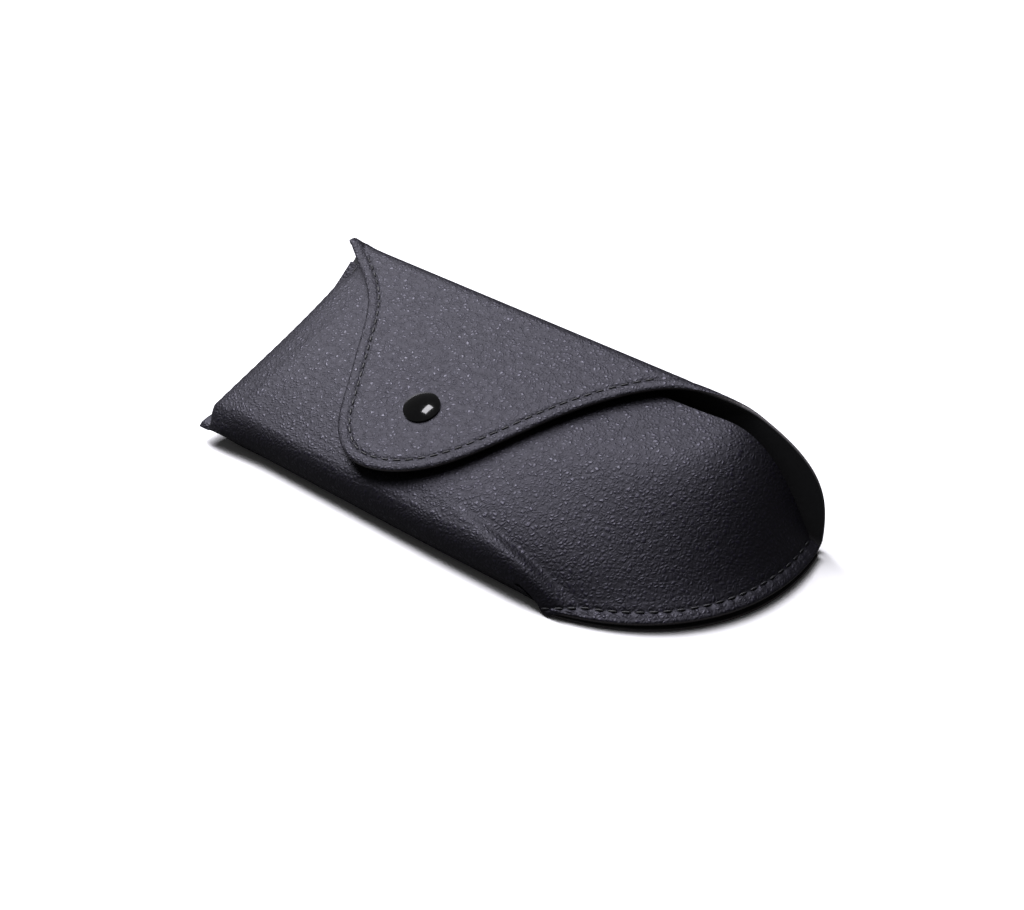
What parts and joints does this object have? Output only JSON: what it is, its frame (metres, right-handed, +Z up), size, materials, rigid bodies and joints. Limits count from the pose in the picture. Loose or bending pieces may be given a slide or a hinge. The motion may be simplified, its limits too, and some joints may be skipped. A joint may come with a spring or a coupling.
{
  "type": "soft pouch glasses case",
  "caption": "Slim soft case for glasses in pebbled black synthetic leather: a sewn pouch with a rounded hooded end and a folded-over pointed flap that closes on a press stud",
  "frame": {"origin": "middle of the case's footprint, on the surface it lies on", "axes": "+X runs along the case from the straight left seam to the rounded right end, +Y from the front fold to the far wall, +Z up out of the surface"},
  "size_m": [0.1626, 0.0677, 0.0357],
  "materials": {
    "leather": "pebbled semi-matte",
    "lining": "smooth matte",
    "snap_cap": "gloss black enamel",
    "snap_metal": "black oxide",
    "spring": "drawn wire",
    "thread": "twisted polyester"
  },
  "bodies": {
    "pouch": {"back_panel": "leather", "back_lining": "lining", "front_panel": "leather", "front_lining": "lining", "snap_stud": "snap_metal", "snap_eyelet": "snap_metal", "left_seam_thread": "thread", "right_seam_thread": "thread", "hood_thread": "thread"},
    "flap": {"flap": "leather", "flap_lining": "lining", "snap_cap": "snap_cap", "snap_socket": "snap_metal", "snap_spring": "spring", "flap_thread": "thread"}
  },
  "joints": [
    {"name": "flap_hinge", "type": "hinge", "parent": "pouch", "child": "flap", "pos_m": [-0.02075, 0.02866, 0.03565], "axis": [-1, 0, 0], "range_deg": [0, 160]}
  ]
}
